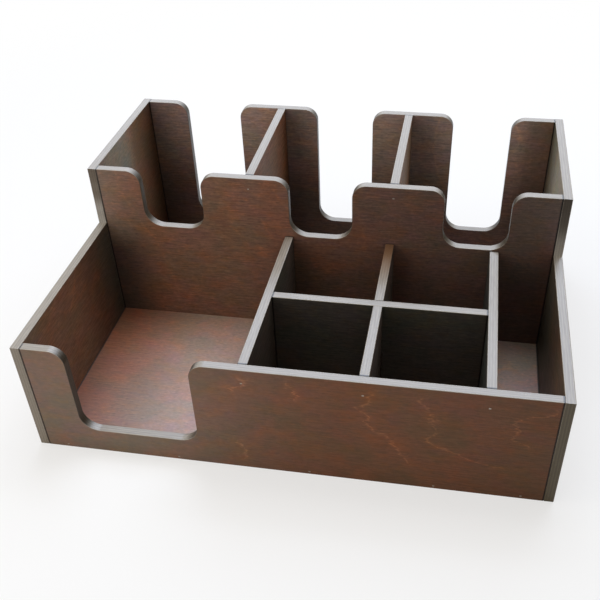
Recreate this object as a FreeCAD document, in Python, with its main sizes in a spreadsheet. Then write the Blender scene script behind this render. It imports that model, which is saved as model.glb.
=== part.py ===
# Bar caddy: an open two-tier organiser of lacquered plywood boards, butt jointed and pinned with brads.
# Millimetres. The origin is the middle of the underside; +X is right, +Y is back and +Z is up.
import FreeCAD, Part
import os
import Sketcher
from FreeCAD import Placement, Rotation, Vector

TOUCH = 1e-4

# Driving sizes: name, value and what it measures. Bays, cells and sills are clear sizes.
SIZES = (
    ("overall_width", 500, "outer face to outer face of the sides"),
    ("overall_depth", 400, "front face to back face"),
    ("front_height", 124, "front panel, front dividers and low part of the sides"),
    ("rear_height", 190, "middle and back walls, rear dividers and tall part of the sides"),
    ("board_thickness", 9, "plywood of every upright board"),
    ("base_thickness", 6, "plywood of the base"),
    ("front_bay_depth", 209, "front panel to middle wall"),
    ("front_cell_depth", 100, "front panel to cross divider"),
    ("napkin_bay_width", 202, "left side to napkin divider"),
    ("cell_width", 99, "each of the two columns of cells"),
    ("rear_bay_width", 161, "left and right rear bays; the middle one takes what is left"),
    ("notch_width", 66.5, "U cut-outs of the middle and back walls"),
    ("middle_sill", 125, "underside of the caddy to the bottom of the middle wall's cut-outs"),
    ("back_sill", 40, "underside of the caddy to the bottom of the back wall's cut-outs"),
    ("napkin_notch_width", 117, "cut-out in front of the napkin bay"),
    ("napkin_notch_margin", 41, "left side to that cut-out"),
    ("napkin_sill", 27, "underside of the caddy to the bottom of that cut-out"),
    ("upright_radius", 15, "top corners beside every cut-out"),
    ("notch_radius", 19.5, "bottom corners of the U cut-outs"),
    ("napkin_notch_radius", 18, "bottom corners of the napkin cut-out"),
    ("arris_chamfer", 0.6, "sanded edges"),
    ("lap_clearance", 0.2, "cross-lap slot, wider than the board it takes"),
    ("brad_length", 30, "head to tip"),
    ("brad_head_width", 2, "T-head, along its bar"),
    ("brad_head_depth", 1.3, "T-head, across its bar"),
    ("brad_head_thickness", 0.6, "T-head, along the shank"),
    ("brad_shank_width", 1.25, "flat wire, wide way"),
    ("brad_shank_depth", 1, "flat wire, narrow way"),
    ("front_brad_drop", 15, "top of a front divider down to the brad in its front end"),
    ("rear_brad_drop", 12, "top of a rear divider down to the brad in its front end"),
    ("corner_inset", 30, "corner of the caddy to the first brad along the base"),
    ("end_inset", 24, "bottom or top of a wall to the first brad in its end"),
    ("divider_inset", 40, "end of a divider to the first brad along its foot"),
    ("wall_foot_inset", 60, "outer side to the first brad along the middle wall's foot"),
    ("second_front_brad", 105.5, "left of the middle of the front"),
    ("third_front_brad", 23.5, "right of the middle of the front"),
    ("fourth_front_brad", 140.5, "right of the middle of the front"),
)

# Places and fitted sizes, each worked out from the driving sizes. Places are in the caddy's frame.
LAYOUT = (
    ("left_face", "-sizes.overall_width / 2"),
    ("right_face", "sizes.overall_width / 2"),
    ("front_face", "-sizes.overall_depth / 2"),
    ("back_face", "sizes.overall_depth / 2"),
    ("left_inner", "left_face + sizes.board_thickness"),
    ("right_inner", "right_face - sizes.board_thickness"),
    ("front_inner", "front_face + sizes.board_thickness"),
    ("back_inner", "back_face - sizes.board_thickness"),
    ("inner_width", "right_inner - left_inner"),
    ("inner_depth", "back_inner - front_inner"),
    ("middle_front", "front_inner + sizes.front_bay_depth"),
    ("middle_back", "middle_front + sizes.board_thickness"),
    ("rear_bay_depth", "back_inner - middle_back"),
    ("napkin_divider_left", "left_inner + sizes.napkin_bay_width"),
    ("cells_left", "napkin_divider_left + sizes.board_thickness"),
    ("cell_divider_left", "cells_left + sizes.cell_width"),
    ("slot_divider_left", "cell_divider_left + sizes.board_thickness + sizes.cell_width"),
    ("cells_width", "slot_divider_left - cells_left"),
    ("cross_front", "front_inner + sizes.front_cell_depth"),
    ("rear_left_divider", "left_inner + sizes.rear_bay_width"),
    ("rear_right_divider", "right_inner - sizes.rear_bay_width - sizes.board_thickness"),
    ("front_board_height", "sizes.front_height - sizes.base_thickness"),
    ("rear_board_height", "sizes.rear_height - sizes.base_thickness"),
    ("lap_height", "front_board_height / 2"),
    ("lap_slot", "sizes.board_thickness + sizes.lap_clearance"),
    ("half_board", "sizes.board_thickness / 2"),
    ("side_notch", "(sizes.rear_bay_width - sizes.notch_width) / 2"),
    ("middle_notch", "(inner_width - sizes.notch_width) / 2"),
    ("far_notch", "inner_width - side_notch - sizes.notch_width"),
)

# Directions that a brad is driven in; a brad is modelled pointing up.
TO_BACK = Rotation(Vector(1, 0, 0), -90)
TO_FRONT = Rotation(Vector(1, 0, 0), 90)
TO_RIGHT = Rotation(Vector(0, 1, 0), 90)
TO_LEFT = Rotation(Vector(0, 1, 0), -90)
UPWARDS = Rotation()


def add_sheet(doc, name, rows):
    """A sheet with one named cell a row, and what each measures beside it."""
    sheet = doc.addObject("Spreadsheet::Sheet", name)
    for number, row in enumerate(rows, start=1):
        sheet.set(f"A{number}", row[0])
        sheet.set(f"B{number}", str(row[1]))
        sheet.set(f"C{number}", row[2] if len(row) > 2 else "")
        sheet.setAlias(f"B{number}", row[0])
    doc.recompute()
    return sheet


def place(thing, x, y, z):
    """Tie a thing's place to three expressions."""
    for axis, where in zip("xyz", (x, y, z)):
        thing.setExpression(f"Placement.Base.{axis}", where)


def add_sketch(body, name, role):
    """An empty sketch on one of the body's own origin planes."""
    plane = next(plane for plane in body.Origin.OriginFeatures if plane.Role == role)
    sketch = body.newObject("Sketcher::SketchObject", name)
    sketch.AttachmentSupport = (plane, "")
    sketch.MapMode = "FlatFace"
    return sketch


def tie_distance(sketch, name, kind, start, end, size):
    """Hold two sketch points a distance apart that follows an expression."""
    value = float(sketch.evalExpression(size))
    index = sketch.addConstraint(Sketcher.Constraint(kind, *start, *end, value))
    sketch.renameConstraint(index, name)
    sketch.setExpression(f"Constraints.{name}", size)


def draw_outline(sketch, corners):
    """A closed outline of level and upright lines; returns the number of its first line."""
    first = sketch.GeometryCount
    count = len(corners)
    for number in range(count):
        start = corners[number]
        end = corners[(number + 1) % count]
        sketch.addGeometry(Part.LineSegment(Vector(*start), Vector(*end)))
    for number in range(count):
        following = first + (number + 1) % count
        sketch.addConstraint(Sketcher.Constraint("Coincident", first + number, 2, following, 1))
        level = "Horizontal" if number % 2 == 0 else "Vertical"
        sketch.addConstraint(Sketcher.Constraint(level, first + number))
    return first


def draw_rectangle(sketch, name, left, bottom, width, height):
    """A rectangle whose corner and sides follow expressions."""
    x, y, across, up = (float(sketch.evalExpression(size)) for size in (left, bottom, width, height))
    corners = ((x, y), (x + across, y), (x + across, y + up), (x, y + up))
    first = draw_outline(sketch, corners)
    tie_distance(sketch, f"{name}_left", "DistanceX", (-1, 1), (first, 1), left)
    tie_distance(sketch, f"{name}_bottom", "DistanceY", (-1, 1), (first, 1), bottom)
    tie_distance(sketch, f"{name}_width", "DistanceX", (first, 1), (first, 2), width)
    tie_distance(sketch, f"{name}_height", "DistanceY", (first + 1, 1), (first + 1, 2), height)


def draw_side(sketch):
    """The stepped outline of a side: low in front, tall from the middle wall back."""
    depth, low, high = (sketch.evalExpression(f"sizes.{size}") for size in
                        ("overall_depth", "front_height", "rear_height"))
    step = sketch.evalExpression("layout.middle_front - layout.front_face")
    corners = ((0, 0), (depth, 0), (depth, high), (step, high), (step, low), (0, low))
    first = draw_outline(sketch, corners)
    sketch.addConstraint(Sketcher.Constraint("Coincident", first, 1, -1, 1))
    tie_distance(sketch, "depth", "DistanceX", (first, 1), (first, 2), "sizes.overall_depth")
    tie_distance(sketch, "rear_height", "DistanceY", (first + 1, 1), (first + 1, 2), "sizes.rear_height")
    tie_distance(sketch, "front_height", "DistanceY", (-1, 1), (first + 5, 1), "sizes.front_height")
    tie_distance(sketch, "step", "DistanceX", (-1, 1), (first + 3, 1),
                 "layout.middle_front - layout.front_face")


def pad(body, sketch, thickness):
    """Pad an outline to a board, always towards the body's positive side."""
    board = body.newObject("PartDesign::Pad", f"{sketch.Name}_pad")
    board.Profile = sketch
    board.Reversed = sketch.AttachmentSupport[0][0].Role == "XZ_Plane"
    board.setExpression("Length", thickness)
    body.Document.recompute()
    return board


def cut_through(body, sketch):
    """Cut a sketch right through the board, and check that it took something away."""
    before = body.Shape.Volume
    cut = body.newObject("PartDesign::Pocket", f"{sketch.Name}_cut")
    cut.Profile = sketch
    cut.Type = "ThroughAll"
    cut.Reversed = sketch.AttachmentSupport[0][0].Role != "XZ_Plane"
    body.Document.recompute()
    if body.Shape.Volume > before - TOUCH:
        raise ValueError(f"{cut.Name} cuts nothing")


def round_edges(body, name, edges, radius):
    """Round the named edges of the body's shape so far."""
    base = body.Tip
    fillet = body.newObject("PartDesign::Fillet", name)
    fillet.Base = (base, edges)
    fillet.setExpression("Radius", radius)
    body.Document.recompute()


def corner_edges(board, height):
    """Edges through the board at one height, apart from those at the board's own ends."""
    box = board.BoundBox
    names = []
    for number, edge in enumerate(board.Edges, start=1):
        corner = edge.BoundBox
        through = corner.XLength < TOUCH and corner.ZLength < TOUCH
        inside = corner.XMin > box.XMin + TOUCH and corner.XMax < box.XMax - TOUCH
        if through and inside and abs(corner.ZMin - height) < TOUCH:
            names.append(f"Edge{number}")
    return names


def face_edges(board, across, along, ends):
    """Edges round the board's two broad faces, less the bottom ones and, if hidden, those at its ends."""
    box = board.BoundBox
    names = []
    for number, edge in enumerate(board.Edges, start=1):
        line = edge.BoundBox
        low = getattr(line, f"{along}Min") - getattr(box, f"{along}Min")
        high = getattr(box, f"{along}Max") - getattr(line, f"{along}Max")
        level = getattr(line, f"{along}Length")
        on_face = getattr(line, f"{across}Length") < TOUCH
        at_bottom = line.ZMax < box.ZMin + TOUCH
        at_end = level < TOUCH and min(low, high) < TOUCH
        if on_face and not at_bottom and (ends or not at_end):
            names.append(f"Edge{number}")
    return names


def ease_edges(body, across, along, ends=False):
    """Take the sharpness off a board's exposed edges, as sanding does."""
    base = body.Tip
    arris = body.newObject("PartDesign::Chamfer", f"{body.Name}_arris")
    arris.Base = (base, face_edges(base.Shape, across, along, ends))
    arris.setExpression("Size", "sizes.arris_chamfer")
    body.Document.recompute()


def add_board(doc, name, role, width, height, thickness):
    """A rectangular board with a corner at its body's origin."""
    body = doc.addObject("PartDesign::Body", f"{name}_board")
    sketch = add_sketch(body, f"{name}_outline", role)
    draw_rectangle(sketch, "board", "0", "0", width, height)
    pad(body, sketch, thickness)
    return body


def add_notches(body, name, lefts, sill, width, board_top, floor_radius):
    """U cut-outs, open at the top, with rounded uprights and rounded floors."""
    sketch = add_sketch(body, f"{name}_notches", "XZ_Plane")
    for number, left in enumerate(lefts, start=1):
        draw_rectangle(sketch, f"notch_{number}", left, sill, width, f"{board_top} - ({sill})")
    cut_through(body, sketch)
    floor = body.evalExpression(sill)
    top = body.evalExpression(board_top)
    round_edges(body, f"{name}_floors", corner_edges(body.Tip.Shape, floor), floor_radius)
    round_edges(body, f"{name}_uprights", corner_edges(body.Tip.Shape, top), "sizes.upright_radius")


def add_base(doc):
    """The bottom, let in between the four outer walls."""
    base = add_board(doc, "base_panel", "XY_Plane", "layout.inner_width", "layout.inner_depth",
                     "sizes.base_thickness")
    place(base, "layout.left_inner", "layout.front_inner", "0")
    return base


def add_front_panel(doc):
    """The low front wall, cut down in front of the napkin bay."""
    panel = add_board(doc, "front_panel", "XZ_Plane", "layout.inner_width", "sizes.front_height",
                      "sizes.board_thickness")
    add_notches(panel, "front_panel", ["sizes.napkin_notch_margin"], "sizes.napkin_sill",
                "sizes.napkin_notch_width", "sizes.front_height", "sizes.napkin_notch_radius")
    ease_edges(panel, "Y", "X", ends=True)
    place(panel, "layout.left_inner", "layout.front_face", "0")
    return panel


def add_middle_wall(doc):
    """The tall wall between the tiers, standing on the base."""
    wall = add_board(doc, "mid_wall", "XZ_Plane", "layout.inner_width", "layout.rear_board_height",
                     "sizes.board_thickness")
    add_notches(wall, "mid_wall", ["layout.side_notch", "layout.middle_notch", "layout.far_notch"],
                "sizes.middle_sill - sizes.base_thickness", "sizes.notch_width",
                "layout.rear_board_height", "sizes.notch_radius")
    ease_edges(wall, "Y", "X")
    place(wall, "layout.left_inner", "layout.middle_front", "sizes.base_thickness")
    return wall


def add_back_wall(doc):
    """The back wall, with the same cut-outs as the middle wall but deeper."""
    wall = add_board(doc, "back_wall", "XZ_Plane", "layout.inner_width", "sizes.rear_height",
                     "sizes.board_thickness")
    add_notches(wall, "back_wall", ["layout.side_notch", "layout.middle_notch", "layout.far_notch"],
                "sizes.back_sill", "sizes.notch_width", "sizes.rear_height", "sizes.notch_radius")
    ease_edges(wall, "Y", "X", ends=True)
    place(wall, "layout.left_inner", "layout.back_inner", "0")
    return wall


def add_side(doc, name, outer_corner):
    """A stepped side, running the whole depth."""
    body = doc.addObject("PartDesign::Body", f"{name}_board")
    sketch = add_sketch(body, f"{name}_outline", "YZ_Plane")
    draw_side(sketch)
    pad(body, sketch, "sizes.board_thickness")
    ease_edges(body, "X", "Y", ends=True)
    place(body, outer_corner, "layout.front_face", "0")
    return body


def add_divider(doc, name, depth, height, left, front):
    """A divider running front to back, standing on the base."""
    divider = add_board(doc, name, "YZ_Plane", depth, height, "sizes.board_thickness")
    place(divider, left, front, "sizes.base_thickness")
    return divider


def add_cell_divider(doc):
    """The divider between the two columns of cells, slotted from above for the cross divider."""
    divider = add_divider(doc, "cell_divider", "sizes.front_bay_depth", "layout.front_board_height",
                          "layout.cell_divider_left", "layout.front_inner")
    slot = add_sketch(divider, "cell_divider_slot", "YZ_Plane")
    draw_rectangle(slot, "slot", "sizes.front_cell_depth - sizes.lap_clearance / 2", "layout.lap_height",
                   "layout.lap_slot", "layout.front_board_height - layout.lap_height")
    cut_through(divider, slot)
    return divider


def add_cross_divider(doc):
    """The divider across the cells, slotted from below for the cell divider."""
    divider = add_board(doc, "cross_divider", "XZ_Plane", "layout.cells_width", "layout.front_board_height",
                        "sizes.board_thickness")
    slot = add_sketch(divider, "cross_divider_slot", "XZ_Plane")
    draw_rectangle(slot, "slot", "sizes.cell_width - sizes.lap_clearance / 2", "0", "layout.lap_slot",
                   "layout.lap_height")
    cut_through(divider, slot)
    ease_edges(divider, "Y", "X")
    place(divider, "layout.cells_left", "layout.cross_front", "sizes.base_thickness")
    return divider


def add_front_dividers(doc):
    """The napkin, cell and slot dividers of the front tier."""
    size = ("sizes.front_bay_depth", "layout.front_board_height")
    napkin = add_divider(doc, "napkin_divider", *size, "layout.napkin_divider_left", "layout.front_inner")
    cell = add_cell_divider(doc)
    slot = add_divider(doc, "slot_divider", *size, "layout.slot_divider_left", "layout.front_inner")
    for divider in (napkin, cell, slot):
        ease_edges(divider, "X", "Y")
    return {"napkin_divider": napkin, "cell_divider": cell, "slot_divider": slot}


def add_rear_dividers(doc):
    """The two dividers between the rear bays."""
    dividers = {}
    for side in ("left", "right"):
        name = f"rear_divider_{side}"
        divider = add_divider(doc, name, "layout.rear_bay_depth", "layout.rear_board_height",
                              f"layout.rear_{side}_divider", "layout.middle_back")
        ease_edges(divider, "X", "Y")
        dividers[name] = divider
    return dividers


def add_boards(doc):
    """Every board, before the brads go in."""
    boards = {
        "base_panel": add_base(doc),
        "front_panel": add_front_panel(doc),
        "mid_wall": add_middle_wall(doc),
        "back_wall": add_back_wall(doc),
        "left_side": add_side(doc, "left_side", "layout.left_face"),
        "right_side": add_side(doc, "right_side", "layout.right_inner"),
        "cross_divider": add_cross_divider(doc),
    }
    boards.update(add_front_dividers(doc))
    boards.update(add_rear_dividers(doc))
    return boards


def add_bar(doc, name, width, depth, length):
    """A rectangular bar standing on the origin, centred on the upright axis."""
    bar = doc.addObject("Part::Box", name)
    bar.setExpression("Length", width)
    bar.setExpression("Width", depth)
    bar.setExpression("Height", length)
    place(bar, f"-{width} / 2", f"-{depth} / 2", "0")
    return bar


def add_brad(doc):
    """One brad pointing up, its head's outer face on the origin."""
    brad = doc.addObject("Part::Fuse", "brad")
    brad.Base = add_bar(doc, "brad_head", "sizes.brad_head_width", "sizes.brad_head_depth",
                        "sizes.brad_head_thickness")
    brad.Tool = add_bar(doc, "brad_shank", "sizes.brad_shank_width", "sizes.brad_shank_depth",
                        "sizes.brad_length")
    return brad


def spread(start, end, count):
    """Evenly spaced places from one to another, both included."""
    return [f"{start} + ({end} - ({start})) * {step} / {count - 1}" for step in range(count)]


def add_brads(doc, brad, name, direction, places):
    """A row of brads driven the same way, as one group of separate solids."""
    row = []
    for number, (x, y, z) in enumerate(places, start=1):
        copy = doc.addObject("App::Link", f"{name}_{number}")
        copy.LinkedObject = brad
        copy.Placement = Placement(Vector(), direction)
        place(copy, x, y, z)
        row.append(copy)
    group = doc.addObject("Part::Compound", f"{name}_row")
    group.Links = row
    return group


def middles(*lefts):
    """The middle planes of dividers, from their left faces."""
    return [f"layout.{left} + layout.half_board" for left in lefts]


def add_all_brads(doc):
    """Every row of brads, by the boards that it joins."""
    brad = add_brad(doc)
    in_base = "sizes.base_thickness / 2"
    front_tops = middles("napkin_divider_left", "cell_divider_left", "slot_divider_left")
    rear_tops = middles("rear_left_divider", "rear_right_divider")
    first_x = "layout.left_face + sizes.corner_inset"
    last_x = "layout.right_face - sizes.corner_inset"
    front_xs = [first_x, "-sizes.second_front_brad", "sizes.third_front_brad", "sizes.fourth_front_brad",
                last_x]
    low_end = "sizes.base_thickness + sizes.end_inset"
    front_zs = spread(low_end, "sizes.front_height - sizes.end_inset", 2)
    rear_zs = spread(low_end, "sizes.rear_height - sizes.end_inset", 3)
    wall_ends = [(y, z) for y, zs in (("layout.front_face + layout.half_board", front_zs),
                                      ("layout.middle_front + layout.half_board", rear_zs),
                                      ("layout.back_inner + layout.half_board", rear_zs)) for z in zs]
    side_ys = spread("layout.front_face + sizes.divider_inset", "layout.back_face - sizes.divider_inset", 4)
    front_foot = spread("layout.front_inner + sizes.divider_inset",
                        "layout.middle_front - sizes.divider_inset", 2)
    rear_foot = spread("layout.middle_back + sizes.divider_inset",
                       "layout.back_inner - sizes.divider_inset", 2)
    wall_foot = spread("layout.left_face + sizes.wall_foot_inset",
                       "layout.right_face - sizes.wall_foot_inset", 4)
    rows = (
        ("front_base_brads", TO_BACK, [(x, "layout.front_face", in_base) for x in front_xs]),
        ("front_divider_brads", TO_BACK,
         [(x, "layout.front_face", "sizes.front_height - sizes.front_brad_drop") for x in front_tops]),
        ("mid_rear_brads", TO_BACK,
         [(x, "layout.middle_front", "sizes.rear_height - sizes.rear_brad_drop") for x in rear_tops]),
        ("mid_front_brads", TO_FRONT,
         [(x, "layout.middle_back", z) for x in front_tops for z in front_zs]),
        ("back_divider_brads", TO_FRONT,
         [(x, "layout.back_face", z) for x in rear_tops for z in rear_zs]),
        ("back_base_brads", TO_FRONT,
         [(x, "layout.back_face", in_base) for x in spread(first_x, last_x, 5)]),
        ("left_wall_brads", TO_RIGHT, [("layout.left_face", y, z) for y, z in wall_ends]),
        ("right_wall_brads", TO_LEFT, [("layout.right_face", y, z) for y, z in wall_ends]),
        ("left_base_brads", TO_RIGHT, [("layout.left_face", y, in_base) for y in side_ys]),
        ("right_base_brads", TO_LEFT, [("layout.right_face", y, in_base) for y in side_ys]),
        ("base_wall_brads", UPWARDS,
         [(x, "layout.middle_front + layout.half_board", "0") for x in wall_foot]),
        ("base_divider_brads", UPWARDS,
         [(x, y, "0") for x in front_tops for y in front_foot]
         + [(x, y, "0") for x in rear_tops for y in rear_foot]),
        ("cross_brads_left", TO_RIGHT,
         [("layout.napkin_divider_left", "layout.cross_front + layout.half_board", z) for z in front_zs]),
        ("cross_brads_right", TO_LEFT,
         [("layout.slot_divider_left + sizes.board_thickness", "layout.cross_front + layout.half_board", z)
          for z in front_zs]),
    )
    return {name: add_brads(doc, brad, name, direction, places) for name, direction, places in rows}


# Which rows of brads go into each board.
PINNED_BY = {
    "base_panel": ("front_base_brads", "back_base_brads", "left_base_brads", "right_base_brads",
                   "base_wall_brads", "base_divider_brads"),
    "front_panel": ("front_base_brads", "front_divider_brads", "left_wall_brads", "right_wall_brads"),
    "mid_wall": ("mid_rear_brads", "mid_front_brads", "left_wall_brads", "right_wall_brads",
                 "base_wall_brads"),
    "back_wall": ("back_divider_brads", "back_base_brads", "left_wall_brads", "right_wall_brads"),
    "left_side": ("left_wall_brads", "left_base_brads"),
    "right_side": ("right_wall_brads", "right_base_brads"),
    "napkin_divider": ("front_divider_brads", "mid_front_brads", "base_divider_brads",
                       "cross_brads_left"),
    "cell_divider": ("front_divider_brads", "mid_front_brads", "base_divider_brads"),
    "slot_divider": ("front_divider_brads", "mid_front_brads", "base_divider_brads",
                     "cross_brads_right"),
    "cross_divider": ("cross_brads_left", "cross_brads_right"),
    "rear_divider_left": ("mid_rear_brads", "back_divider_brads", "base_divider_brads"),
    "rear_divider_right": ("mid_rear_brads", "back_divider_brads", "base_divider_brads"),
}


def drive_brads(doc, boards, brads):
    """Give each board the holes of its brads; returns the finished pieces by name."""
    pieces = dict(brads)
    for name, board in boards.items():
        holes = doc.addObject("Part::Compound", f"{name}_holes")
        holes.Links = [brads[row] for row in PINNED_BY[name]]
        piece = doc.addObject("Part::Cut", name)
        piece.Base = board
        piece.Tool = holes
        pieces[name] = piece
    return pieces


def check_document(doc, pieces):
    """Stop if anything failed to build."""
    for thing in doc.Objects:
        if "Invalid" in thing.State or "Error" in thing.State:
            raise ValueError(f"{thing.Name} did not build: {thing.State}")
    for name, piece in pieces.items():
        if piece.Shape.isNull() or not piece.Shape.isValid():
            raise ValueError(f"{name} has no valid shape")


def main():
    doc = FreeCAD.newDocument("bar_caddy")
    add_sheet(doc, "sizes", SIZES)
    add_sheet(doc, "layout", [(name, f"={formula}") for name, formula in LAYOUT])
    boards = add_boards(doc)
    brads = add_all_brads(doc)
    doc.recompute()
    pieces = drive_brads(doc, boards, brads)
    doc.recompute()
    check_document(doc, pieces)
    os.makedirs("parts", exist_ok=True)
    for name, piece in pieces.items():
        piece.Label = name
        piece.Shape.exportStep(f"parts/{name}.step")
        print(f"{name}: {len(piece.Shape.Solids)} solids, {piece.Shape.Volume:.0f} mm3")


main()
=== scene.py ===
"""Bar caddy: boards of dark-stained, lacquered birch plywood, pinned with bright steel brads."""
import math

import bmesh
import bpy
from mathutils import Euler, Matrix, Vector


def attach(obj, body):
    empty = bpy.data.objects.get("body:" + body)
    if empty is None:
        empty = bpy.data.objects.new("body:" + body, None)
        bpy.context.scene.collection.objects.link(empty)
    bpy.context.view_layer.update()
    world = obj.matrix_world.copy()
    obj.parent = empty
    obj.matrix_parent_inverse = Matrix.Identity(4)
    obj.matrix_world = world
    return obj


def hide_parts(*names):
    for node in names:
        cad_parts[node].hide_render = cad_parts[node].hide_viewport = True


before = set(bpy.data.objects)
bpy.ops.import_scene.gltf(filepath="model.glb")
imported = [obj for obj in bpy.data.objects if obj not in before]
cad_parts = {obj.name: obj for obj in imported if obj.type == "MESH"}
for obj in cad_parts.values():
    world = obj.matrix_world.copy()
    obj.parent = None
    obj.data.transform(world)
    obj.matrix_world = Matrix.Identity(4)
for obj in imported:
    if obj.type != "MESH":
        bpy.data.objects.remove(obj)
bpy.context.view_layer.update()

# Board faces, in millimetres, in the caddy's frame: X across, Y front to back, Z up.
LEFT, RIGHT = -250, 250
FRONT, BACK = -200, 200
BOARD = 9
FLOOR = 6
LOW_TOP, HIGH_TOP = 124, 190
MIDDLE = 18
NAPKIN_DIVIDER, CELL_DIVIDER, SLOT_DIVIDER = -39, 69, 177
REAR_DIVIDERS = (-80, 71)
CROSS_DIVIDER = -91

# Faces that the other boards stand between: inside the four outer walls, and behind the middle wall.
INNER_LEFT, INNER_RIGHT = LEFT + BOARD, RIGHT - BOARD
INNER_FRONT, MIDDLE_BACK, INNER_BACK = FRONT + BOARD, MIDDLE + BOARD, BACK - BOARD

# The lap of the crossing dividers: the height where its two slots meet, and the play on each side of a board.
LAP_TOP, LAP_PLAY = 65, 0.1

# Cut-outs of the walls: left and right edges, heights of their floors, radii at the floor and at the top.
NOTCHES = ((-193.75, -127.25), (-33.25, 33.25), (127.25, 193.75))
NAPKIN_NOTCH = ((-200, -83),)
NAPKIN_SILL, MIDDLE_SILL, BACK_SILL = 27, 125, 40
NAPKIN_RADIUS, NOTCH_RADIUS, TOP_RADIUS = 18, 19.5, 15

# How far a saw cut runs past the board, and the small round that sanding leaves on an arris.
OVERSHOOT = 5
ARRIS = 0.7

# Steps of a rounded corner and of an arris.
CORNER_STEPS, ARRIS_STEPS = 18, 3

# One ply: a 9 mm board has seven.
PLY = 1.29

# Growth lines of the veneer: half their width, the reach of the torn fibres beside them, and the spacing of those
# that nobody drew.
LINE_WIDTH, TORN_WIDTH, LINE_SPACING = 2.6, 16, 90

# How far from a joint its pooled stain starts to fade and has faded out; the heights where the factors for the low
# part of a board begin to count, and where they count in full.
POOL_DARK, POOL_END = 0.8, 2.0
LOW_START, LOW_FULL = 126, 85

# Finishes used more than once: pooled stain, daylight from a window, and a fill of warm white.
POOLED_STAIN, DAYLIGHT, WARM_WHITE = "#0e0b09", "#cfe0ff", "#fffaf4"

# Directions of a board's grain: turns that bring the grain to X and the board's thickness to Z.
ACROSS = (math.radians(-90), 0, 0)
BACKWARDS = (math.radians(-90), math.radians(-90), 0)
LAID_FLAT = (0, 0, 0)


def set_active(piece):
    """Select one piece and nothing else."""
    bpy.ops.object.select_all(action="DESELECT")
    piece.select_set(True)
    bpy.context.view_layer.objects.active = piece


def apply_modifiers(piece):
    """Apply what is on a piece, from the first down."""
    set_active(piece)
    for modifier in list(piece.modifiers):
        bpy.ops.object.modifier_apply(modifier=modifier.name)


def add_block(name, low, high):
    """A block between two corners, in millimetres."""
    size = [(end - start) / 1000 for start, end in zip(low, high)]
    middle = [(end + start) / 2000 for start, end in zip(low, high)]
    bpy.ops.object.select_all(action="DESELECT")
    bpy.ops.mesh.primitive_cube_add(size=1, location=middle, scale=size)
    block = bpy.context.object
    block.name = name
    block.data.name = name
    bpy.ops.object.transform_apply(location=True, rotation=True, scale=True)
    return block


def saw_out(board, low, high):
    """Cut a block out of a board."""
    waste = add_block("waste", low, high)
    cut = board.modifiers.new("cut", "BOOLEAN")
    cut.operation = "DIFFERENCE"
    cut.solver = "EXACT"
    cut.object = waste
    apply_modifiers(board)
    bpy.data.objects.remove(waste)


def select_edges(board, wanted):
    """Go into edit mode with only the wanted edges selected."""
    set_active(board)
    bpy.ops.object.mode_set(mode="EDIT")
    bpy.ops.mesh.select_mode(type="EDGE")
    bpy.ops.mesh.select_all(action="DESELECT")
    mesh = bmesh.from_edit_mesh(board.data)
    for edge in mesh.edges:
        edge.select = wanted(edge)
    mesh.select_flush_mode()
    bmesh.update_edit_mesh(board.data)


def round_corners(board, places, height, radius):
    """Round the edges that run through a wall at these places and this height."""
    def is_corner(edge):
        start, end = (vertex.co for vertex in edge.verts)
        through = abs(start.x - end.x) < 1e-6 and abs(start.z - end.z) < 1e-6
        level = abs(start.z - height / 1000) < 1e-5
        return through and level and any(abs(start.x - place / 1000) < 1e-5 for place in places)

    select_edges(board, is_corner)
    bpy.ops.mesh.bevel(offset=radius / 1000, segments=CORNER_STEPS, affect="EDGES", clamp_overlap=False)
    bpy.ops.object.mode_set(mode="OBJECT")


def is_broad(face, thin):
    """Whether a face is one of a board's two broad ones; thin is the axis of its thickness."""
    return abs(face.normal[thin]) > 0.9


def sand_edges(board, thin, ends):
    """Round the arrises of a board's two broad faces, as sanding does, less its foot and any hidden end."""
    along = 1 - thin
    low = min(vertex.co[along] for vertex in board.data.vertices)
    high = max(vertex.co[along] for vertex in board.data.vertices)
    foot = min(vertex.co.z for vertex in board.data.vertices)

    def is_arris(edge):
        start, end = (vertex.co for vertex in edge.verts)
        faces = [is_broad(face, thin) for face in edge.link_faces]
        at_foot = max(start.z, end.z) < foot + 1e-5
        upright_end = any(abs(start[along] - limit) + abs(end[along] - limit) < 1e-5 for limit in (low, high))
        return faces.count(True) == 1 and not at_foot and (ends or not upright_end)

    select_edges(board, is_arris)
    bpy.ops.mesh.bevel(offset=ARRIS / 1000, segments=ARRIS_STEPS, affect="EDGES", clamp_overlap=False)
    bpy.ops.object.mode_set(mode="OBJECT")


def make_room(board, rows):
    """Cut the holes of a board's brads, from copies of the CAD brads."""
    for row in rows:
        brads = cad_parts[row].copy()
        brads.data = brads.data.copy()
        bpy.context.collection.objects.link(brads)
        brads.parent = None
        set_active(brads)
        bpy.ops.object.mode_set(mode="EDIT")
        bpy.ops.mesh.select_all(action="SELECT")
        bpy.ops.mesh.remove_doubles(threshold=0.00001)
        bpy.ops.object.mode_set(mode="OBJECT")
        hole = board.modifiers.new("hole", "BOOLEAN")
        hole.operation = "DIFFERENCE"
        hole.solver = "EXACT"
        hole.object = brads
        apply_modifiers(board)
        bpy.data.objects.remove(brads)


def finish_board(board, node, rows, veneer, edge, thin):
    """Brad holes, clean shading, the two finishes, and the CAD node that the board stands for."""
    make_room(board, rows)
    set_active(board)
    bpy.ops.object.shade_smooth_by_angle(angle=math.radians(35))
    weighted = board.modifiers.new("weighted", "WEIGHTED_NORMAL")
    weighted.keep_sharp = True
    apply_modifiers(board)
    board.data.materials.clear()
    board.data.materials.append(veneer)
    board.data.materials.append(edge)
    for face in board.data.polygons:
        face.material_index = 0 if is_broad(face, thin) else 1
    board.name = f"{node}_veneered"
    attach(board, "root")
    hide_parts(node)


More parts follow.
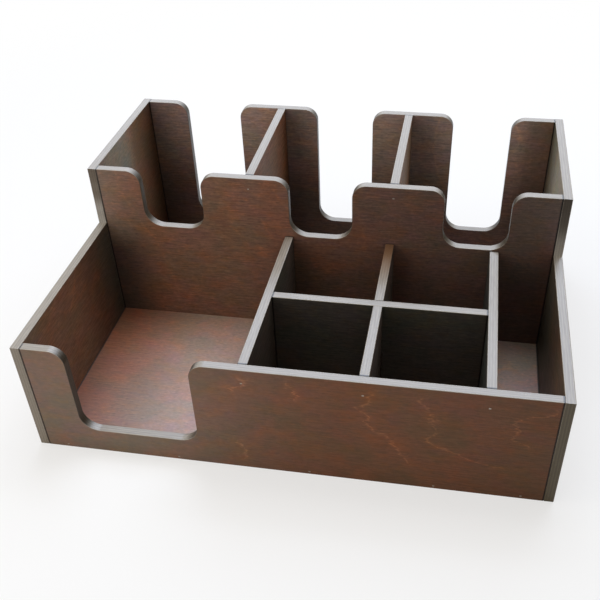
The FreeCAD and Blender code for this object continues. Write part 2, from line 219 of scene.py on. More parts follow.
def add_wall(node, low, high, notches, sill, floor_radius, ends):
    """A board across the caddy, with its rounded cut-outs."""
    wall = add_block(node, low, high)
    for left, right in notches:
        saw_out(wall, (left, low[1] - OVERSHOOT, sill), (right, high[1] + OVERSHOOT, high[2] + OVERSHOOT))
    places = [place for notch in notches for place in notch]
    round_corners(wall, places, sill, floor_radius)
    round_corners(wall, places, high[2], TOP_RADIUS)
    sand_edges(wall, 1, ends)
    return wall


def add_side(node, left):
    """A stepped side: low in front, tall from the middle wall back."""
    side = add_block(node, (left, FRONT, 0), (left + BOARD, BACK, HIGH_TOP))
    saw_out(side, (left - OVERSHOOT, FRONT - OVERSHOOT, LOW_TOP),
            (left + BOARD + OVERSHOOT, MIDDLE, HIGH_TOP + OVERSHOOT))
    sand_edges(side, 0, True)
    return side


def add_divider(node, left, front, back, top):
    """A board standing front to back on the base."""
    return add_block(node, (left, front, FLOOR), (left + BOARD, back, top))


def linear(code):
    """An sRGB hex colour as Blender's linear one."""
    parts = [int(code[start:start + 2], 16) / 255 for start in (1, 3, 5)]
    return [part / 12.92 if part <= 0.04045 else ((part + 0.055) / 1.055) ** 2.4 for part in parts] + [1]


def add_node(tree, kind, settings=None, sockets=None):
    """Add a shader node with its settings; each socket gets a value, or a link from a socket or a node's result."""
    node = tree.nodes.new(kind)
    for name, value in (settings or {}).items():
        setattr(node, name, value)
    for name, value in (sockets or {}).items():
        if isinstance(value, bpy.types.Node):
            value = [socket for socket in value.outputs if socket.enabled][0]
        if isinstance(value, bpy.types.NodeSocket):
            tree.links.new(value, node.inputs[name])
        else:
            node.inputs[name].default_value = value
    return node


def new_material(name):
    """An empty node material; returns it, its tree and its output."""
    material = bpy.data.materials.new(name)
    material.use_nodes = True
    material.node_tree.nodes.clear()
    output = add_node(material.node_tree, "ShaderNodeOutputMaterial")
    return material, material.node_tree, output


def draw_curve(node, spots):
    """Lay the points of a curve node: places in millimetres, which the node reads as metres, and its values there."""
    node.mapping.use_clip = False
    curve = node.mapping.curves[0]
    curve.points[0].location = (spots[0][0] / 1000, spots[0][1])
    curve.points[1].location = (spots[-1][0] / 1000, spots[-1][1])
    for place, value in spots[1:-1]:
        curve.points.new(place / 1000, value)
    node.mapping.update()


def grain_coordinates(tree, turn, shift):
    """The board's own coordinates: X along the grain, Z through the thickness, moved so that no two boards match."""
    place = add_node(tree, "ShaderNodeTexCoord")
    return add_node(tree, "ShaderNodeMapping", None,
                    {"Vector": place.outputs["Object"], "Rotation": turn, "Location": shift})


def streaks(tree, grain, length, width, detail, low, high, most=1.0):
    """Noise drawn out along the grain, sizes in millimetres: none below one level, the most above the other.
    Birch pores are about 0.1 mm wide, too fine to show, so fibres and specks are drawn coarser, that they show."""
    stretched = add_node(tree, "ShaderNodeMapping", None,
                         {"Vector": grain, "Scale": (1000 / length, 1000 / width, 1000 / width)})
    noise = add_node(tree, "ShaderNodeTexNoise", None,
                     {"Vector": stretched, "Scale": 1.0, "Detail": detail, "Roughness": 0.55})
    return add_node(tree, "ShaderNodeMapRange", {"interpolation_type": "SMOOTHSTEP"},
                    {"Value": noise, "From Min": low, "From Max": high, "To Max": most})


def torn_fibres(tree, grain):
    """How far a growth line strays along the grain, in metres: a slow wander, and short teeth of torn fibres."""
    wander = streaks(tree, grain, 40, 14, 1, 0.2, 0.8, 0.016)
    teeth = streaks(tree, grain, 9, 1.9, 2, 0.25, 0.75, 0.006)
    both = add_node(tree, "ShaderNodeMath", {"operation": "ADD"}, {0: wander, 1: teeth})
    return add_node(tree, "ShaderNodeMath", {"operation": "SUBTRACT"}, {0: both, 1: 0.011})


def drawn_lines(tree, grain, paths):
    """How far it is, in metres, to growth lines drawn as the real board shows them."""
    axes = add_node(tree, "ShaderNodeSeparateXYZ", None, {0: grain})
    strayed = add_node(tree, "ShaderNodeMath", {"operation": "ADD"},
                       {0: axes.outputs[0], 1: torn_fibres(tree, grain)})
    point = add_node(tree, "ShaderNodeCombineXYZ", None, {0: strayed, 1: axes.outputs[1]})
    nearest = 1.0
    for path in paths:
        level = add_node(tree, "ShaderNodeClamp", None,
                         {0: axes.outputs[1], 1: path[0][0] / 1000, 2: path[-1][0] / 1000})
        drawn = add_node(tree, "ShaderNodeFloatCurve", None, {"Value": level})
        draw_curve(drawn, [(height, place / 1000) for height, place in path])
        on_line = add_node(tree, "ShaderNodeCombineXYZ", None, {0: drawn, 1: level})
        gap = add_node(tree, "ShaderNodeVectorMath", {"operation": "DISTANCE"}, {0: point, 1: on_line})
        nearest = add_node(tree, "ShaderNodeMath", {"operation": "MINIMUM"}, {0: nearest, 1: gap})
    return nearest


def wild_lines(tree, grain, spacing):
    """How far it is, in metres, to growth lines that nobody chose: the contours of a slow noise."""
    field = streaks(tree, grain, 150, 260, 1, 0.0, 1.0, 0.7)
    strayed = add_node(tree, "ShaderNodeMath", {"operation": "ADD"}, {0: field, 1: torn_fibres(tree, grain)})
    return add_node(tree, "ShaderNodeMath", {"operation": "PINGPONG"}, {0: strayed, 1: spacing})


def pooled_stain(tree, grain, shift, ends):
    """Dark stain pooled in the joints at a board's two ends."""
    axes = add_node(tree, "ShaderNodeSeparateXYZ", None, {0: grain})
    first = add_node(tree, "ShaderNodeMath", {"operation": "SUBTRACT"},
                     {0: axes.outputs[0], 1: ends[0] / 1000 + shift[0]})
    last = add_node(tree, "ShaderNodeMath", {"operation": "SUBTRACT"},
                    {0: ends[1] / 1000 + shift[0], 1: axes.outputs[0]})
    near = add_node(tree, "ShaderNodeMath", {"operation": "MINIMUM"}, {0: first, 1: last})
    return add_node(tree, "ShaderNodeMapRange", {"interpolation_type": "SMOOTHSTEP"},
                    {"Value": near, "From Min": POOL_DARK / 1000, "From Max": POOL_END / 1000, "To Min": 0.92,
                     "To Max": 0.0})


def birch_veneer(name, turn, shift, stain, outside="#6b4a38", rust=0.5, gloss=0.25, along=None, low=None, up=None,
                 inner=0, glare_and_tone_patches=(), ends=None, paths=(), figure=0.15, bite=1.0):
    """Rotary-cut birch veneer, dark brown stain, satin lacquer: soft streaks and specks along the grain, stain taken
    up in rusty, grey-green and mauve clouds, thin pale growth lines, ragged where the knife tore the fibres, patches
    of painted glare (the lacquer's reflection painted into the colour) with a few of stain tone toward some ends, and
    a dark line of stain pooled in the joints. Those patches, and factors that darken or lighten the colour along the
    board, low down only, and up the board (partly stain, partly painted shade in inner corners and painted light),
    lie on the inner face alone, and the outside has one stain. Bite is how strongly the fibres show."""
    material, tree, output = new_material(name)
    grain = grain_coordinates(tree, turn, shift)
    fibres = streaks(tree, grain, 20, 1.5, 4, 0.36, 0.64)
    gap = drawn_lines(tree, grain, paths) if paths else wild_lines(tree, grain, LINE_SPACING / 1000)
    core = add_node(tree, "ShaderNodeMapRange", {"interpolation_type": "SMOOTHSTEP"},
                    {"Value": gap, "From Min": LINE_WIDTH / 1000, "From Max": 0.0})
    core = add_node(tree, "ShaderNodeMath", {"operation": "MULTIPLY"},
                    {0: core, 1: streaks(tree, grain, 12, 5, 2, 0.3, 0.56, 0.42 if paths else figure)})
    halo = add_node(tree, "ShaderNodeMapRange", {"interpolation_type": "SMOOTHSTEP"},
                    {"Value": gap, "From Min": TORN_WIDTH / 1000, "From Max": 0.0})
    torn = add_node(tree, "ShaderNodeMath", {"operation": "MULTIPLY"},
                    {0: halo, 1: streaks(tree, grain, 7, 1.2, 2, 0.5, 0.68, 0.42)})
    warm = add_node(tree, "ShaderNodeMath", {"operation": "MULTIPLY"},
                    {0: halo, 1: streaks(tree, grain, 30, 16, 2, 0.3, 0.6, 0.5)})
    tints = (
        # Clouds of stain: grey-green, rusty and mauve, then smaller rusty and grey ones.
        (streaks(tree, grain, 66, 46, 3, 0.4, 0.62, 0.8), (0.82, 1.0, 0.93)),
        (streaks(tree, grain, 48, 36, 4, 0.46, 0.66, rust), (1.26, 0.97, 0.77)),
        (streaks(tree, grain, 30, 19, 3, 0.46, 0.66, 0.6), (0.99, 0.94, 1.12)),
        (streaks(tree, grain, 15, 8, 3, 0.46, 0.68, 0.6), (1.18, 1.02, 0.8)),
        (streaks(tree, grain, 10, 6, 3, 0.48, 0.68, 0.6), (0.84, 0.93, 0.94)),
        # Warmth beside the growth lines, dark specks, pale specks, torn fibres, and the lines themselves.
        (warm, (1.16, 1.05, 0.92)),
        (streaks(tree, grain, 6, 1.5, 2, 0.52, 0.72, 0.6 * bite), (0.55, 0.55, 0.57)),
        (streaks(tree, grain, 4.2, 2.6, 3, 0.44, 0.7, 0.45 * bite), (1.5, 1.45, 1.42)),
        (torn, (1.45, 1.4, 1.25)),
        (core, (2.3, 2.15, 1.9)),
    )
    middle = add_node(tree, "ShaderNodeSeparateXYZ", None, {0: grain})
    side = add_node(tree, "ShaderNodeMath", {"operation": "MULTIPLY"}, {0: middle.outputs[2], 1: float(inner)})
    on_face = add_node(tree, "ShaderNodeMath", {"operation": "GREATER_THAN"}, {0: side, 1: -0.001})
    # The inner face's stain differs from the outside's on some boards as painted light and shade: paler for glare on
    # the back wall, darker for shade in the slot.
    outside_and_inner_colour = add_node(tree, "ShaderNodeMix", {"data_type": "RGBA"},
                          {0: on_face, 6: linear(outside), 7: linear(stain)})
    thread = add_node(tree, "ShaderNodeMix", {"data_type": "RGBA"},
                      {0: fibres, 6: (0.82, 0.82, 0.84, 1), 7: (1.18, 1.16, 1.14, 1)})
    colour = add_node(tree, "ShaderNodeMix", {"data_type": "RGBA", "blend_type": "MULTIPLY"},
                      {0: bite, 6: outside_and_inner_colour, 7: thread})
    unmoved = add_node(tree, "ShaderNodeVectorMath", {"operation": "SUBTRACT"}, {0: grain, 1: shift})
    axes = add_node(tree, "ShaderNodeSeparateXYZ", None, {0: unmoved})
    # Patches of painted glare: the lacquer's reflection painted into the colour; a few brown ones are a tone of the
    # stain.
    for start, end, most, glare_and_tone_colour in glare_and_tone_patches:
        glare_and_tone_mask = add_node(tree, "ShaderNodeMapRange", {"interpolation_type": "SMOOTHSTEP"},
                        {"Value": axes.outputs[0], "From Min": start / 1000, "From Max": end / 1000,
                         "To Min": most, "To Max": 0.0})
        glare_and_tone_mask = add_node(tree, "ShaderNodeMath", {"operation": "MULTIPLY"}, {0: glare_and_tone_mask, 1: on_face})
        colour = add_node(tree, "ShaderNodeMix", {"data_type": "RGBA"}, {0: glare_and_tone_mask, 6: colour, 7: linear(glare_and_tone_colour)})
    for mask, tint in tints:
        colour = add_node(tree, "ShaderNodeMix", {"data_type": "RGBA", "blend_type": "MULTIPLY"},
                          {0: mask, 6: colour, 7: (*tint, 1)})
    if ends:
        colour = add_node(tree, "ShaderNodeMix", {"data_type": "RGBA"},
                          {0: pooled_stain(tree, grain, shift, ends), 6: colour, 7: linear(POOLED_STAIN)})
    # The low part of the board, where the low factors count. These and the factors along and up it are partly stain,
    # partly painted shade in the corners and beside the dividers, and painted light and glare where they lighten.
    below = add_node(tree, "ShaderNodeMapRange", {"interpolation_type": "SMOOTHSTEP"},
                     {"Value": axes.outputs[1], "From Min": LOW_START / 1000, "From Max": LOW_FULL / 1000})
    below = add_node(tree, "ShaderNodeMath", {"operation": "MULTIPLY"}, {0: below, 1: on_face})
    for place, levels, share in ((axes.outputs[0], along, on_face), (axes.outputs[0], low, below),
                                 (axes.outputs[1], up, on_face)):
        if levels:
            depth = add_node(tree, "ShaderNodeFloatCurve", None, {"Value": place})
            draw_curve(depth, levels)
            colour = add_node(tree, "ShaderNodeMix", {"data_type": "RGBA", "blend_type": "MULTIPLY"},
                              {0: share, 6: colour, 7: depth})
    satin = add_node(tree, "ShaderNodeMapRange", None, {"Value": fibres, "To Min": 0.54, "To Max": 0.44})
    shader = add_node(tree, "ShaderNodeBsdfPrincipled", None,
                      {"Base Color": colour, "Roughness": satin, "Specular IOR Level": gloss})
    relief = add_node(tree, "ShaderNodeBump", None, {"Height": fibres, "Strength": 0.3, "Distance": 0.0001})
    tree.links.new(relief.outputs[0], shader.inputs["Normal"])
    tree.links.new(shader.outputs[0], output.inputs[0])
    return material


def plywood_edge(name, turn, shift, ends, end_grain=("#3a3122", "#443b2c"), riser=None, middle_wall_reflection=None):
    """Sanded plywood edge under the same stain, sealed with more lacquer than the faces: grey-tan along the grain,
    much darker where end grain drank stain and lacquer, the plies just showing, and a pale sheen where it faces up.
    riser is the darker, browner pair of tones that a side's end grain has from its step back, and not at its front
    end, painted shade of the step; the tan of a top edge near the middle wall (bare) is painted, the wall's brown
    reflection in the lacquer: where it is strongest, where it has faded out, how strong, its tone."""
    material, tree, output = new_material(name)
    grain = grain_coordinates(tree, turn, shift)
    axes = add_node(tree, "ShaderNodeSeparateXYZ", None, {0: grain})
    plies = add_node(tree, "ShaderNodeMath", {"operation": "PINGPONG"}, {0: axes.outputs[2], 1: PLY / 1000})
    layer = add_node(tree, "ShaderNodeMapRange", {"interpolation_type": "SMOOTHSTEP"},
                     {"Value": plies, "From Min": 0.0004, "From Max": 0.0009})
    place = add_node(tree, "ShaderNodeTexCoord")
    facing = add_node(tree, "ShaderNodeMapping", {"vector_type": "NORMAL"},
                      {"Vector": place.outputs["Normal"], "Rotation": turn})
    facing = add_node(tree, "ShaderNodeSeparateXYZ", None, {0: facing})
    facing = add_node(tree, "ShaderNodeMath", {"operation": "ABSOLUTE"}, {0: facing.outputs[0]})
    at_end = add_node(tree, "ShaderNodeMapRange", {"interpolation_type": "SMOOTHSTEP"},
                      {"Value": facing, "From Min": 0.25, "From Max": 0.9})
    colour = add_node(tree, "ShaderNodeMix", {"data_type": "RGBA"},
                      {0: layer, 6: linear("#93897b"), 7: linear("#9e9483")})
    across = add_node(tree, "ShaderNodeMix", {"data_type": "RGBA"},
                      {0: layer, 6: linear(end_grain[0]), 7: linear(end_grain[1])})
    unmoved = add_node(tree, "ShaderNodeMath", {"operation": "SUBTRACT"}, {0: axes.outputs[0], 1: shift[0]})
    # Darker, browner end grain from a side's step back: painted shade of the step.
    if riser:
        browner = add_node(tree, "ShaderNodeMix", {"data_type": "RGBA"},
                           {0: layer, 6: linear(riser[0]), 7: linear(riser[1])})
        at_riser = add_node(tree, "ShaderNodeMapRange", None, {"Value": unmoved, "From Min": -0.15, "From Max": 0.0})
        across = add_node(tree, "ShaderNodeMix", {"data_type": "RGBA"}, {0: at_riser, 6: across, 7: browner})
    fibres = streaks(tree, grain, 18, 0.8, 3, 0.35, 0.65)
    layers = [(at_end, across), (streaks(tree, grain, 18, 0.8, 3, 0.35, 0.65, 0.25), linear("#3a2d21"))]
    # A painted tan on a top edge near the middle wall: the wall's brown reflection in the lacquer.
    if middle_wall_reflection:
        start, end, most, tone = middle_wall_reflection
        layers.append((add_node(tree, "ShaderNodeMapRange", {"interpolation_type": "SMOOTHSTEP"},
                                {"Value": unmoved, "From Min": start / 1000, "From Max": end / 1000,
                                 "To Min": most, "To Max": 0.0}), linear(tone)))
    if ends:
        layers.append((pooled_stain(tree, grain, shift, ends), linear(POOLED_STAIN)))
    for mask, tone in layers:
        colour = add_node(tree, "ShaderNodeMix", {"data_type": "RGBA"}, {0: mask, 6: colour, 7: tone})
    lacquer = add_node(tree, "ShaderNodeMapRange", None, {"Value": at_end, "To Min": 1.0, "To Max": 0.2})
    sanded = add_node(tree, "ShaderNodeMapRange", None, {"Value": fibres, "To Min": 0.45, "To Max": 0.35})
    duller = add_node(tree, "ShaderNodeMapRange", None, {"Value": at_end, "To Min": 0.0, "To Max": 0.06})
    sanded = add_node(tree, "ShaderNodeMath", {"operation": "ADD"}, {0: sanded, 1: duller})
    shader = add_node(tree, "ShaderNodeBsdfPrincipled", None,
                      {"Base Color": colour, "Roughness": sanded, "Specular IOR Level": 0.3, "Coat Weight": lacquer,
                       "Coat Roughness": 0.25})
    relief = add_node(tree, "ShaderNodeBump", None, {"Height": fibres, "Strength": 0.15, "Distance": 0.0001})
    tree.links.new(relief.outputs[0], shader.inputs["Normal"])
    tree.links.new(shader.outputs[0], output.inputs[0])
    return material


def drawn_steel():
    """Drawn steel wire, its chisel-cut head dulled by the nail gun and a film of lacquer."""
    material, tree, output = new_material("dulled_drawn_steel")
    place = add_node(tree, "ShaderNodeTexCoord")
    noise = add_node(tree, "ShaderNodeTexNoise", None,
                     {"Vector": place.outputs["Object"], "Scale": 1800.0, "Detail": 2.0})
    colour = add_node(tree, "ShaderNodeMix", {"data_type": "RGBA"},
                      {0: noise, 6: linear("#8f877c"), 7: linear("#b8b1a7")})
    dulled = add_node(tree, "ShaderNodeMapRange", None, {"Value": noise, "To Min": 0.4, "To Max": 0.6})
    shader = add_node(tree, "ShaderNodeBsdfPrincipled", None,
                      {"Base Color": colour, "Metallic": 1.0, "Roughness": dulled})
    tree.links.new(shader.outputs[0], output.inputs[0])
    return material


def pale_floor():
    """Matt white paper under the caddy: it keeps the soft shadow, and further off it is as white as the backdrop."""
    material, tree, output = new_material("white_paper_floor")
    place = add_node(tree, "ShaderNodeTexCoord")
    noise = add_node(tree, "ShaderNodeTexNoise", None, {"Vector": place.outputs["Object"], "Scale": 900.0})
    colour = add_node(tree, "ShaderNodeMix", {"data_type": "RGBA"},
                      {0: noise, 6: linear("#f0ece4"), 7: linear("#f5f1e9")})
    paper = add_node(tree, "ShaderNodeBsdfPrincipled", None,
                     {"Base Color": colour, "Roughness": 0.9, "Specular IOR Level": 0.1})
    white = add_node(tree, "ShaderNodeEmission", None, {"Strength": 1.0})
    path = add_node(tree, "ShaderNodeLightPath")
    away = add_node(tree, "ShaderNodeVectorMath", {"operation": "LENGTH"}, {0: place.outputs["Object"]})
    whiter = add_node(tree, "ShaderNodeMapRange", {"interpolation_type": "SMOOTHSTEP"},
                      {"Value": away.outputs["Value"], "From Min": 0.4, "From Max": 1.3, "To Min": 0.6,
                       "To Max": 1.0})
    share = add_node(tree, "ShaderNodeMath", {"operation": "MULTIPLY"},
                     {0: path.outputs["Is Camera Ray"], 1: whiter})
    both = add_node(tree, "ShaderNodeMixShader", None, {0: share, 1: paper, 2: white})
    tree.links.new(both.outputs[0], output.inputs[0])
    return material


def add_camera():
    """The photograph's viewpoint, solved from its perspective."""
    data = bpy.data.cameras.new("camera")
    data.lens = 49.464
    data.sensor_width = 36
    data.shift_x = -0.0333
    data.shift_y = 0.05
    camera = bpy.data.objects.new("camera", data)
    camera.location = (0.1365, -0.7128, 0.6005)
    camera.rotation_euler = [math.radians(angle) for angle in (51.009, 1.359, 9.793)]
    bpy.context.collection.objects.link(camera)
    bpy.context.scene.camera = camera


def add_softbox(name, place, aim, width, height, power, colour):
    """A rectangular studio light: its place, what it faces and its size in metres, and its power in watts."""
    data = bpy.data.lights.new(name, "AREA")
    data.shape = "RECTANGLE"
    data.size = width
    data.size_y = height
    data.energy = power
    data.color = linear(colour)[:3]
    light = bpy.data.objects.new(name, data)
    light.location = place
    from_aim = [a - b for a, b in zip(place, aim)]
    level = math.hypot(from_aim[0], from_aim[1])
    light.rotation_euler = (math.atan2(level, from_aim[2]), 0, math.atan2(from_aim[0], -from_aim[1]))
    bpy.context.collection.objects.link(light)


def light_studio():
    """Windows behind, a skylight, weaker fills from the left and the left front, and a pale room."""
    add_softbox("high_window", (0.1, 1.1, 1.7), (0, 0, 0.08), 2.0, 1.0, 17, DAYLIGHT)
    add_softbox("low_window", (-0.1, 1.4, 1.0), (0, 0, 0.08), 2.2, 0.9, 6, DAYLIGHT)
    add_softbox("skylight", (0.1, 0.6, 2.2), (0, 0, 0.08), 1.6, 1.0, 18, "#e8f0ff")
    add_softbox("left_fill", (-0.55, -0.25, 0.85), (0, -0.05, 0.06), 0.5, 0.5, 1.8, WARM_WHITE)
    add_softbox("front_fill", (-0.9, -1.3, 0.45), (0, 0, 0.08), 0.9, 0.6, 2.5, WARM_WHITE)
    world = bpy.data.worlds.new("pale_room")
    bpy.context.scene.world = world
    world.use_nodes = True
    tree = world.node_tree
    tree.nodes.clear()
    output = add_node(tree, "ShaderNodeOutputWorld")
    path = add_node(tree, "ShaderNodeLightPath")
    seen = path.outputs["Is Camera Ray"]
    for ray in ("Is Glossy Ray", "Is Transmission Ray"):
        seen = add_node(tree, "ShaderNodeMath", {"operation": "MAXIMUM"}, {0: seen, 1: path.outputs[ray]})
    room = add_node(tree, "ShaderNodeBackground", None, {"Color": (1, 1, 1, 1), "Strength": 0.45})
    backdrop = add_node(tree, "ShaderNodeBackground", None, {"Color": (1, 1, 1, 1), "Strength": 1.0})
    either = add_node(tree, "ShaderNodeMixShader", None, {0: seen, 1: room, 2: backdrop})
    tree.links.new(either.outputs[0], output.inputs[0])
    bpy.context.scene.view_settings.view_transform = "Standard"


add_camera()
light_studio()

boards = {
    "base_panel": add_block("base_panel", (INNER_LEFT, INNER_FRONT, 0), (INNER_RIGHT, INNER_BACK, FLOOR)),
    "front_panel": add_wall("front_panel", (INNER_LEFT, FRONT, 0), (INNER_RIGHT, INNER_FRONT, LOW_TOP),
                            NAPKIN_NOTCH, NAPKIN_SILL, NAPKIN_RADIUS, True),
    "mid_wall": add_wall("mid_wall", (INNER_LEFT, MIDDLE, FLOOR), (INNER_RIGHT, MIDDLE_BACK, HIGH_TOP),
                         NOTCHES, MIDDLE_SILL, NOTCH_RADIUS, False),
    "back_wall": add_wall("back_wall", (INNER_LEFT, INNER_BACK, 0), (INNER_RIGHT, BACK, HIGH_TOP),
                          NOTCHES, BACK_SILL, NOTCH_RADIUS, True),
    "left_side": add_side("left_side", LEFT),
    "right_side": add_side("right_side", RIGHT - BOARD)}
for node, left in (("napkin_divider", NAPKIN_DIVIDER), ("cell_divider", CELL_DIVIDER),
                   ("slot_divider", SLOT_DIVIDER)):
    boards[node] = add_divider(node, left, INNER_FRONT, MIDDLE, LOW_TOP)
saw_out(boards["cell_divider"], (CELL_DIVIDER - OVERSHOOT, CROSS_DIVIDER - LAP_PLAY, LAP_TOP),
        (CELL_DIVIDER + BOARD + OVERSHOOT, CROSS_DIVIDER + BOARD + LAP_PLAY, LOW_TOP + OVERSHOOT))
for node, left in zip(("rear_divider_left", "rear_divider_right"), REAR_DIVIDERS):
    boards[node] = add_divider(node, left, MIDDLE_BACK, INNER_BACK, HIGH_TOP)
boards["cross_divider"] = add_block("cross_divider", (NAPKIN_DIVIDER + BOARD, CROSS_DIVIDER, FLOOR),
                                    (SLOT_DIVIDER, CROSS_DIVIDER + BOARD, LOW_TOP))
saw_out(boards["cross_divider"], (CELL_DIVIDER - LAP_PLAY, CROSS_DIVIDER - OVERSHOOT, FLOOR - OVERSHOOT),
        (CELL_DIVIDER + BOARD + LAP_PLAY, CROSS_DIVIDER + BOARD + OVERSHOOT, LAP_TOP))
for node in ("napkin_divider", "cell_divider", "slot_divider", "rear_divider_left", "rear_divider_right"):
    sand_edges(boards[node], 0, False)
sand_edges(boards["cross_divider"], 1, False)

# Growth lines of the front panel, bottom to top: heights and places in millimetres.
FRONT_LINES = (
    ((30, 112), (43, 105), (55, 97), (68, 91), (76, 80), (89, 73), (112, 75)),
    ((38, 197), (41, 175), (46, 160), (53, 148), (64, 136), (77, 137), (112, 128)),
    ((68, 219), (76, 212), (88, 209), (99, 211), (105, 226), (114, 235)),
    ((12, -38), (24, -39), (34, -37)),
    ((96, 12), (104, 12), (114, 9)),
    ((100, -40), (114, -36)),
)

# Each board: the rows of brads that go into it, the axis of its thickness (0 is X, 1 is Y, 2 is Z), and its grain.
BOARDS = {
    "base_panel": (("front_base_brads", "back_base_brads", "left_base_brads", "right_base_brads",
                    "base_wall_brads", "base_divider_brads"), 2, LAID_FLAT),
    "front_panel": (("front_base_brads", "front_divider_brads", "left_wall_brads", "right_wall_brads"), 1, ACROSS),
    "mid_wall": (("mid_rear_brads", "mid_front_brads", "left_wall_brads", "right_wall_brads",
                  "base_wall_brads"), 1, ACROSS),
    "back_wall": (("back_divider_brads", "back_base_brads", "left_wall_brads", "right_wall_brads"), 1, ACROSS),
    "left_side": (("left_wall_brads", "left_base_brads"), 0, BACKWARDS),
    "right_side": (("right_wall_brads", "right_base_brads"), 0, BACKWARDS),
    "napkin_divider": (("front_divider_brads", "mid_front_brads", "base_divider_brads", "cross_brads_left"),
                       0, BACKWARDS),
    "cell_divider": (("front_divider_brads", "mid_front_brads", "base_divider_brads"), 0, BACKWARDS),
    "slot_divider": (("front_divider_brads", "mid_front_brads", "base_divider_brads", "cross_brads_right"),
                     0, BACKWARDS),
    "cross_divider": (("cross_brads_left", "cross_brads_right"), 1, ACROSS),
    "rear_divider_left": (("mid_rear_brads", "back_divider_brads", "base_divider_brads"), 0, BACKWARDS),
    "rear_divider_right": (("mid_rear_brads", "back_divider_brads", "base_divider_brads"), 0, BACKWARDS),
}

# The two ends of a board that meet others, where stain pooled in the joints.
WALL_ENDS, CROSS_ENDS = (INNER_LEFT, INNER_RIGHT), (NAPKIN_DIVIDER + BOARD, SLOT_DIVIDER)
FRONT_ENDS, REAR_ENDS = (INNER_FRONT, MIDDLE), (MIDDLE_BACK, INNER_BACK)

# The two rear dividers darken toward the back wall alike: painted shade of the corner there.
REAR_ALONG = ((27, 1.1), (127, 1.05), (170, 0.82), (191, 0.6))
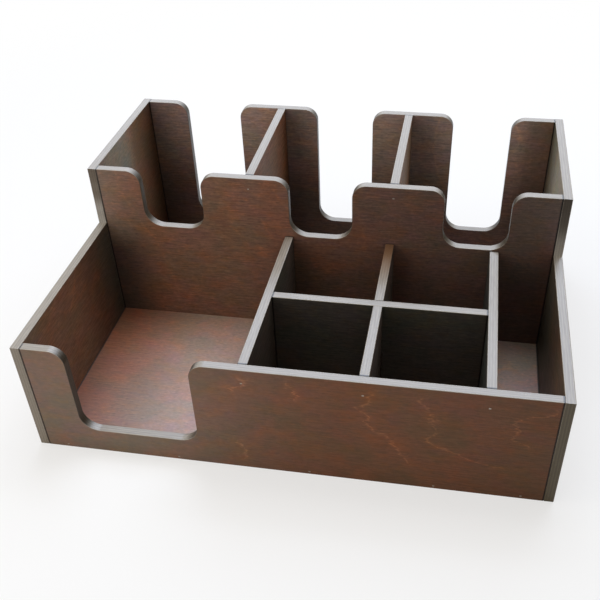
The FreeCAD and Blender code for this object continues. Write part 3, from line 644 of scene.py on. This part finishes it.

# How each board took its finish. Places along a board (for all of it, and for its low part alone) and up a board are
# in millimetres, with a factor on the colour there: below 1 is darker. Part of it stands for shade and glare in the
# photograph rather than for stain: painted shade in inner corners, beside the dividers and low down, a painted fall
# of light from the left, and painted glare on some inner faces. A patch of glare and tone is where it is strongest,
# where it has faded out, how strong, and its colour: most are painted glare, the lacquer's reflection, and a few
# brown ones are a tone of the stain.
# Some inner stains paint light and shade too: the back wall's pale mauve inner face against its brown outside is
# painted glare, the base's paler floor is partly painted light, and the dividers' dark stains, darkest the slot
# divider's grey-green inner face against its brown outside, are partly painted shade of the cells and slot.
VENEERS = {
    "base_panel": {
        "stain": "#905b41", "gloss": 0.9, "ends": WALL_ENDS, "figure": 0.0, "bite": 0.8, "inner": 1,
        "glare_and_tone_patches": ((-90, -235, 0.68, "#b5a197"),),
        "along": ((-241, 0.85), (-215, 1.0), (177, 1.0), (190, 1.3), (241, 1.35)),
        "up": ((-191, 0.93), (-130, 0.93), (-90, 0.98), (-55, 1.13), (-15, 1.16), (18, 1.0), (191, 0.95))},
    "front_panel": {
        "stain": "#6c4936", "gloss": 0.15, "ends": WALL_ENDS, "paths": FRONT_LINES, "bite": 0.45,
        "glare_and_tone_patches": ((-180, 60, 0.4, "#94867c"),),
        "along": ((-241, 0.97), (-200, 1.0), (60, 1.0), (150, 0.93), (241, 0.78))},
    "mid_wall": {
        "stain": "#785746", "rust": 0.6, "ends": WALL_ENDS, "inner": 1, "figure": 0.1,
        "glare_and_tone_patches": ((240, -60, 0.35, "#665a5c"), (-241, -185, 0.3, "#857770")),
        "along": ((-241, 1.1), (-140, 1.1), (0, 0.88), (120, 0.7), (180, 0.62), (241, 0.58)),
        "low": ((-241, 0.28), (-225, 0.4), (-200, 0.78), (-175, 1.05), (-39, 1.05), (-30, 0.7), (-8, 1.05),
                (69, 1.15), (78, 0.7), (100, 1.1), (177, 1.2), (186, 0.8), (241, 0.9))},
    "back_wall": {
        "stain": "#877269", "outside": "#5d4234", "rust": 0.4, "gloss": 0.3, "ends": WALL_ENDS, "inner": 1,
        "glare_and_tone_patches": ((241, 195, 0.7, "#84644f"),),
        "along": ((-241, 0.5), (-215, 0.72), (-180, 1.06), (-130, 1.3), (-80, 1.1), (-71, 0.6), (-50, 0.78),
                  (-20, 1.05), (20, 1.18), (71, 1.06), (80, 0.75), (110, 1.0), (140, 1.25), (180, 1.27),
                  (215, 0.78), (241, 0.62)),
        "up": ((0, 0.6), (40, 0.6), (80, 0.68), (115, 1.02), (150, 1.25), (190, 1.28))},
    "left_side": {
        "stain": "#72513d", "inner": 1,
        "glare_and_tone_patches": ((-190, -140, 0.3, "#7b6a5a"), (30, -40, 0.6, "#6d6f66"), (130, 95, 0.75, "#7a5030"),
                   (185, 140, 0.7, "#68513d")),
        "along": ((-200, 1.1), (-171, 1.06), (-90, 1.0), (-50, 0.68), (0, 0.46), (18, 0.38), (27, 1.15), (39, 1.3),
                  (82, 1.7), (127, 1.15), (170, 0.63), (191, 0.5), (200, 0.5))},
    "right_side": {
        "stain": "#5b4838", "inner": -1, "glare_and_tone_patches": ((10, -120, 0.75, "#6e695b"),),
        "along": ((-200, 1.15), (-150, 1.1), (-110, 0.72), (-60, 0.5), (10, 0.42), (18, 0.42), (27, 1.7), (82, 2.1),
                  (127, 1.4), (170, 0.95), (191, 0.75), (200, 0.75))},
    "napkin_divider": {"stain": "#423931", "rust": 0.4, "ends": FRONT_ENDS, "inner": 1,
                       "along": ((-191, 0.75), (-130, 0.82), (-80, 1.0), (-50, 1.1), (18, 1.0)),
                       "up": ((6, 1.3), (50, 1.25), (90, 0.97), (124, 0.82))},
    "cell_divider": {"stain": "#453b35", "rust": 0.4, "ends": FRONT_ENDS},
    "slot_divider": {"stain": "#34342f", "outside": "#5d4234", "rust": 0.4, "ends": FRONT_ENDS, "inner": -1},
    "cross_divider": {"stain": "#423d37", "rust": 0.3, "gloss": 0.2, "ends": CROSS_ENDS, "figure": 0.0,
                      "up": ((6, 1.3), (40, 1.2), (80, 1.03), (124, 0.84))},
    "rear_divider_left": {"stain": "#744c31", "rust": 0.4, "ends": REAR_ENDS, "along": REAR_ALONG},
    "rear_divider_right": {"stain": "#7f604b", "rust": 0.4, "ends": REAR_ENDS, "along": REAR_ALONG},
}

# Edges that look otherwise: the left side's end grain much lighter than the right side's, painted light from the
# left; the front panel's end grain darker; darker, browner end grain from a side's step back to its rear end, painted
# shade of the step; and a top edge painted tan at its rear, a painted reflection of the middle wall's brown face.
EDGES = {
    "left_side": {"end_grain": ("#857a6a", "#908577"), "riser": ("#5e5242", "#675a4c")},
    "right_side": {"end_grain": ("#4c4230", "#584e3a"), "riser": ("#2f2517", "#372d1e")},
    "front_panel": {"end_grain": ("#2e271c", "#372f23")},
    "cell_divider": {"middle_wall_reflection": (14, -70, 0.9, "#775130")},
}

# Each board's pattern is moved, by a different step for each, so that no two match. The front panel's isn't, because
# its growth lines are drawn at their places.
for number, (node, (rows, thin, turn)) in enumerate(BOARDS.items()):
    centre = sum((Vector(corner) for corner in boards[node].bound_box), Vector()) / 8
    depth = (Euler(turn).to_matrix() @ centre).z
    finish = VENEERS[node]
    shift = (0, 0, -depth) if "paths" in finish else (0.37 * number, 0.23 * number, -depth)
    edge = plywood_edge(f"lacquered_edge_{node}", turn, shift, finish.get("ends"), **EDGES.get(node, {}))
    veneer = birch_veneer(f"stained_birch_{node}", turn, shift, **finish)
    finish_board(boards[node], node, rows, veneer, edge, thin)

steel = drawn_steel()
for node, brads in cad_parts.items():
    if node.endswith("_brads") or node.startswith("cross_brads"):
        brads.data.materials.clear()
        brads.data.materials.append(steel)

bpy.ops.object.select_all(action="DESELECT")
bpy.ops.mesh.primitive_plane_add(size=8, location=(0, 0, -0.0002))
floor = bpy.context.object
floor.name = "studio_floor"
bpy.ops.object.transform_apply(location=True, rotation=True, scale=True)
floor.data.materials.append(pale_floor())
